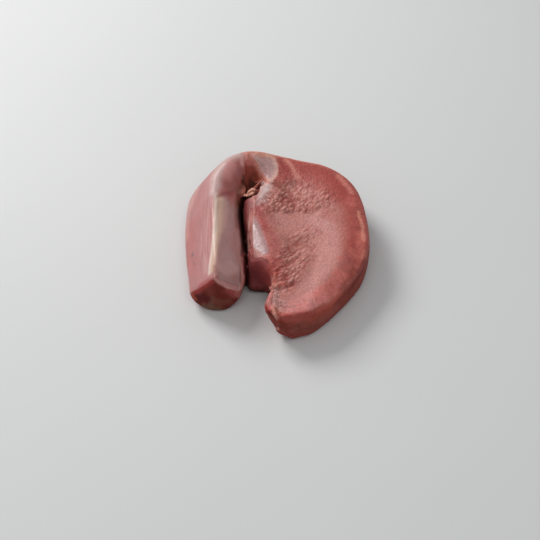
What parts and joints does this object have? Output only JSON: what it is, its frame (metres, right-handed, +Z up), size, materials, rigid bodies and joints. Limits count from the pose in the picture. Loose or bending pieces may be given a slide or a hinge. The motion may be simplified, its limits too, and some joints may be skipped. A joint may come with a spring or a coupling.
{
  "type": "raw beef tongue",
  "caption": "Raw beef tongue lying on its side, curled into a horseshoe: ridged root limb with a flat cut, sharp bend, broad dished blade with a rough back, narrow slit between",
  "frame": {"origin": "centre of the footprint's bounding box, on the surface it lies on", "axes": "+Z up out of the resting face; +Y the long way, from the cut root and the tip towards the bend; +X towards the broad blade"},
  "size_m": [0.175, 0.2114, 0.0509],
  "materials": {
    "raw_tongue": "moist raw meat: satin with a wet sheen, pink, with a pale fascia strip and a mauve underside"
  },
  "bodies": {
    "root": {"beef_tongue": "raw_tongue"}
  },
  "joints": []
}
